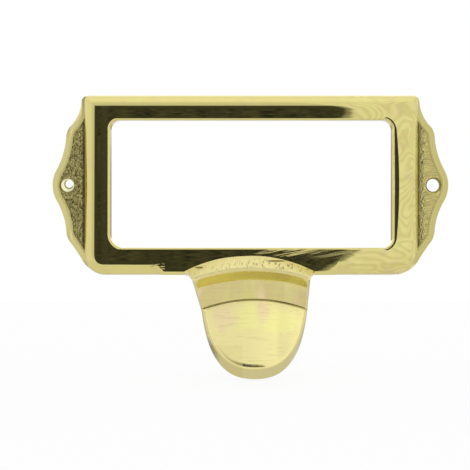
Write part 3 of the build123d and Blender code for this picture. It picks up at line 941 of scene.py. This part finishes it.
in_crevice = fade(tree, tone, 0.0, 1.0, CREVICE_ROUGHNESS, GROUND_ROUGHNESS)
roughness = calc(tree, "SUBTRACT", in_crevice, fade(tree, tone, 1.0, 1.4, 0.0, RAKED_GLOSS))
tree.links.new(roughness, shader.inputs["Roughness"])
shader.inputs["Metallic"].default_value = 1
for piece in ear_grounds:
    piece.data.materials.append(ground)
print(ground.name, "nodes:", len(tree.nodes))

# %% [markdown]
# The left screw hole was never cleared all the way: a thin skin of casting flash still stands in it, and
# through the skin goes a smaller opening, a little up and to the right. Its torn edge has curled forward
# at the lower left and reads as a dark C. The skin is a closed ring whose outer edge sits in the wall of
# the hole and whose inner edge carries a bead of varying height, so one loop of cross-sections makes it.
# Each point of the section has its share of the way from the wall to the opening, and 1 if it lies on the
# bead, 0 if it lies on the skin, or None if it lies on the back.

# %% Casting flash in the left hole
SKIN_CENTRE, SKIN_RADIUS = (-HOLE_X, 0.0), HOLE_RADIUS + 0.05
OPENING_CENTRE, OPENING_RADIUS = (-37.82, 0.27), 0.80
SKIN_FRONT, SKIN_THICKNESS, SKIN_SLOPE = -1.34, 0.12, 0.42
BEAD_HEIGHT = 0.10
BEAD_DIRECTION = math.radians(225)
SKIN_STEPS = 96
SKIN_SECTION = ((0.0, 0), (0.4, 0), (0.70, 0), (0.78, 1), (1.0, 1), (1.0, None), (0.5, None), (0.0, None))
SHARP_ABOVE = math.radians(30)


def flash_ring():
    """A thin skin with an off-centre opening and a bead that fades out towards the upper right."""
    shape = bmesh.new()
    tone = shape.verts.layers.float.new("bead")
    loops = []
    for step in range(SKIN_STEPS):
        angle = math.tau * step / SKIN_STEPS
        outer = Vector(SKIN_CENTRE) + SKIN_RADIUS * Vector((math.cos(angle), math.sin(angle)))
        inner = Vector(OPENING_CENTRE) + OPENING_RADIUS * Vector((math.cos(angle), math.sin(angle)))
        bead = soft(math.cos(angle - BEAD_DIRECTION), -0.75, 0.1)
        loop = []
        for share, on_bead in SKIN_SECTION:
            spot = outer.lerp(inner, share)
            lift = -SKIN_THICKNESS if on_bead is None else on_bead * bead * BEAD_HEIGHT
            y = SKIN_FRONT + SKIN_SLOPE * share * (inner - outer).length - lift
            vertex = shape.verts.new((spot.x * MM, y * MM, spot.y * MM))
            vertex[tone] = (on_bead or 0) * bead
            loop.append(vertex)
        loops.append(loop)
    for loop, following in zip(loops, loops[1:] + loops[:1]):
        for start, end in zip(range(len(loop)), list(range(1, len(loop))) + [0]):
            shape.faces.new((loop[start], following[start], following[end], loop[end]))
    piece = add_to_casting(shape, "hole_flash")
    piece.data.set_sharp_from_angle(angle=SHARP_ABOVE)
    return piece


hole_flash = flash_ring()
print("flash opening in millimetres:", round(2 * OPENING_RADIUS, 2), "faces:", len(hole_flash.data.polygons))

# %% [markdown]
# The skin is bright and pale, almost the cream of fresh brass; its paleness is partly painted light, the
# brightness the skin catches inside the hole. Its bead is a dark olive brown. One attribute from the mesh
# tells them apart.

# %% Material: pale flash
# FLASH_PALE is partly painted light: paler than the brass, for the light the skin catches in the hole.
FLASH_PALE = (0.95, 0.93, 0.60, 1)
FLASH_BEAD = (0.34, 0.30, 0.13, 1)
FLASH_ROUGHNESS = 0.2

flash = bpy.data.materials.new("pale_flash")
flash.use_nodes = True
tree = flash.node_tree
shader = tree.nodes["Principled BSDF"]
place = in_millimetres(tree)[0]
bead = add_node(tree, "Attribute", {"attribute_name": "bead"}).outputs["Fac"]
drift = use_group(tree, colour_drift, {"Place": place, "Cloud Size": 0.6})
colour = blend_colour(tree, both(tree, drift["Pink"], 0.3), FLASH_PALE, CREAM_BRASS)
colour = blend_colour(tree, fade(tree, bead, 0.2, 0.7), colour, FLASH_BEAD)
tree.links.new(colour, shader.inputs["Base Color"])
shader.inputs["Metallic"].default_value = 1
shader.inputs["Roughness"].default_value = FLASH_ROUGHNESS
hole_flash.data.materials.append(flash)
print(flash.name, "nodes:", len(tree.nodes))

# %% [markdown]
# A pale floor stands under the pull, just touching the tip of the tongue. It is staged, so it isn't part
# of the object. Mirrors look through it at the tent, and the camera sees it almost white, with only a
# trace of the pull's shadow.

# %% Pale floor
FLOOR_HALF = 400.0

floor_mesh = bpy.data.meshes.new("floor")
floor_z = cad_box[0][2]
reach = FLOOR_HALF * MM
floor_mesh.from_pydata(
    [(-reach, -reach, floor_z), (reach, -reach, floor_z), (reach, reach, floor_z), (-reach, reach, floor_z)],
    [], [(0, 1, 2, 3)],
)
floor = bpy.data.objects.new("floor", floor_mesh)
bpy.context.scene.collection.objects.link(floor)
paper = bpy.data.materials.new("floor_paper")
paper.use_nodes = True
tree = paper.node_tree
tree.nodes.clear()
rays = add_node(tree, "LightPath").outputs
matt = add_node(tree, "BsdfDiffuse", None, {"Color": (0.9, 0.9, 0.9, 1)})
white = add_node(tree, "Emission", None, {"Color": (1, 1, 1, 1)})
seen = add_node(
    tree, "MixShader", None,
    {0: calc(tree, "MULTIPLY", rays["Is Camera Ray"], 0.9), 1: matt.outputs[0], 2: white.outputs[0]},
)
clear = add_node(tree, "BsdfTransparent")
for_mirrors = add_node(
    tree, "MixShader", None, {0: rays["Is Glossy Ray"], 1: seen.outputs[0], 2: clear.outputs[0]}
)
add_node(tree, "OutputMaterial", None, {"Surface": for_mirrors.outputs[0]})
floor_mesh.materials.append(paper)
print("floor height in metres:", round(floor_z, 5))
